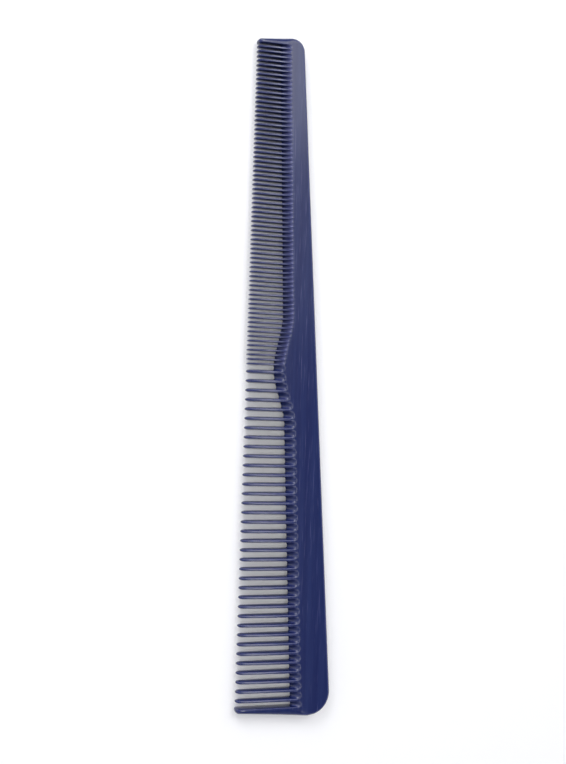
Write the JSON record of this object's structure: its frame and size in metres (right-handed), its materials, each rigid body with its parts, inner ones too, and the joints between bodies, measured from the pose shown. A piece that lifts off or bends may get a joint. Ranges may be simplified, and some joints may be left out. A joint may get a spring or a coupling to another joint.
{
  "type": "hair comb",
  "caption": "Barber's taper comb: a slim tapering spine with a bank of fine teeth and a bank of coarse teeth, divided by a low hump, and a thicker guard at each end.",
  "frame": {"origin": "under the middle of the comb's box, on the broad face it rests on", "axes": "+X along the straight line of the tooth tips, from the narrow end to the heel; the teeth point to -Y and the spine's back is towards +Y; +Z is the thickness"},
  "size_m": [0.1796, 0.0258, 0.0036],
  "materials": {
    "comb_plastic": "gloss"
  },
  "bodies": {
    "root": {"spine": "comb_plastic", "tip_guard": "comb_plastic", "heel_guard": "comb_plastic", "coarse_root_web": "comb_plastic", "fine_teeth_01": "comb_plastic", "fine_teeth_02": "comb_plastic", "fine_teeth_03": "comb_plastic", "fine_teeth_04": "comb_plastic", "fine_teeth_05": "comb_plastic", "fine_teeth_06": "comb_plastic", "fine_teeth_07": "comb_plastic", "fine_teeth_08": "comb_plastic", "fine_teeth_09": "comb_plastic", "fine_teeth_10": "comb_plastic", "coarse_tooth_01": "comb_plastic", "coarse_tooth_02": "comb_plastic", "coarse_tooth_03": "comb_plastic", "coarse_tooth_04": "comb_plastic", "coarse_tooth_05": "comb_plastic", "coarse_tooth_06": "comb_plastic", "coarse_tooth_07": "comb_plastic", "coarse_tooth_08": "comb_plastic", "coarse_tooth_09": "comb_plastic", "coarse_tooth_10": "comb_plastic", "coarse_tooth_11": "comb_plastic", "coarse_tooth_12": "comb_plastic", "coarse_tooth_13": "comb_plastic", "coarse_tooth_14": "comb_plastic", "coarse_tooth_15": "comb_plastic", "coarse_tooth_16": "comb_plastic", "coarse_tooth_17": "comb_plastic", "coarse_tooth_18": "comb_plastic", "coarse_tooth_19": "comb_plastic", "coarse_tooth_20": "comb_plastic", "coarse_tooth_21": "comb_plastic", "coarse_tooth_22": "comb_plastic", "coarse_tooth_23": "comb_plastic", "coarse_tooth_24": "comb_plastic", "coarse_tooth_25": "comb_plastic", "coarse_tooth_26": "comb_plastic", "coarse_tooth_27": "comb_plastic", "coarse_tooth_28": "comb_plastic", "coarse_tooth_29": "comb_plastic", "coarse_tooth_30": "comb_plastic", "coarse_tooth_31": "comb_plastic", "coarse_tooth_32": "comb_plastic", "coarse_tooth_33": "comb_plastic", "coarse_tooth_34": "comb_plastic", "coarse_tooth_35": "comb_plastic", "coarse_tooth_36": "comb_plastic"}
  },
  "joints": []
}
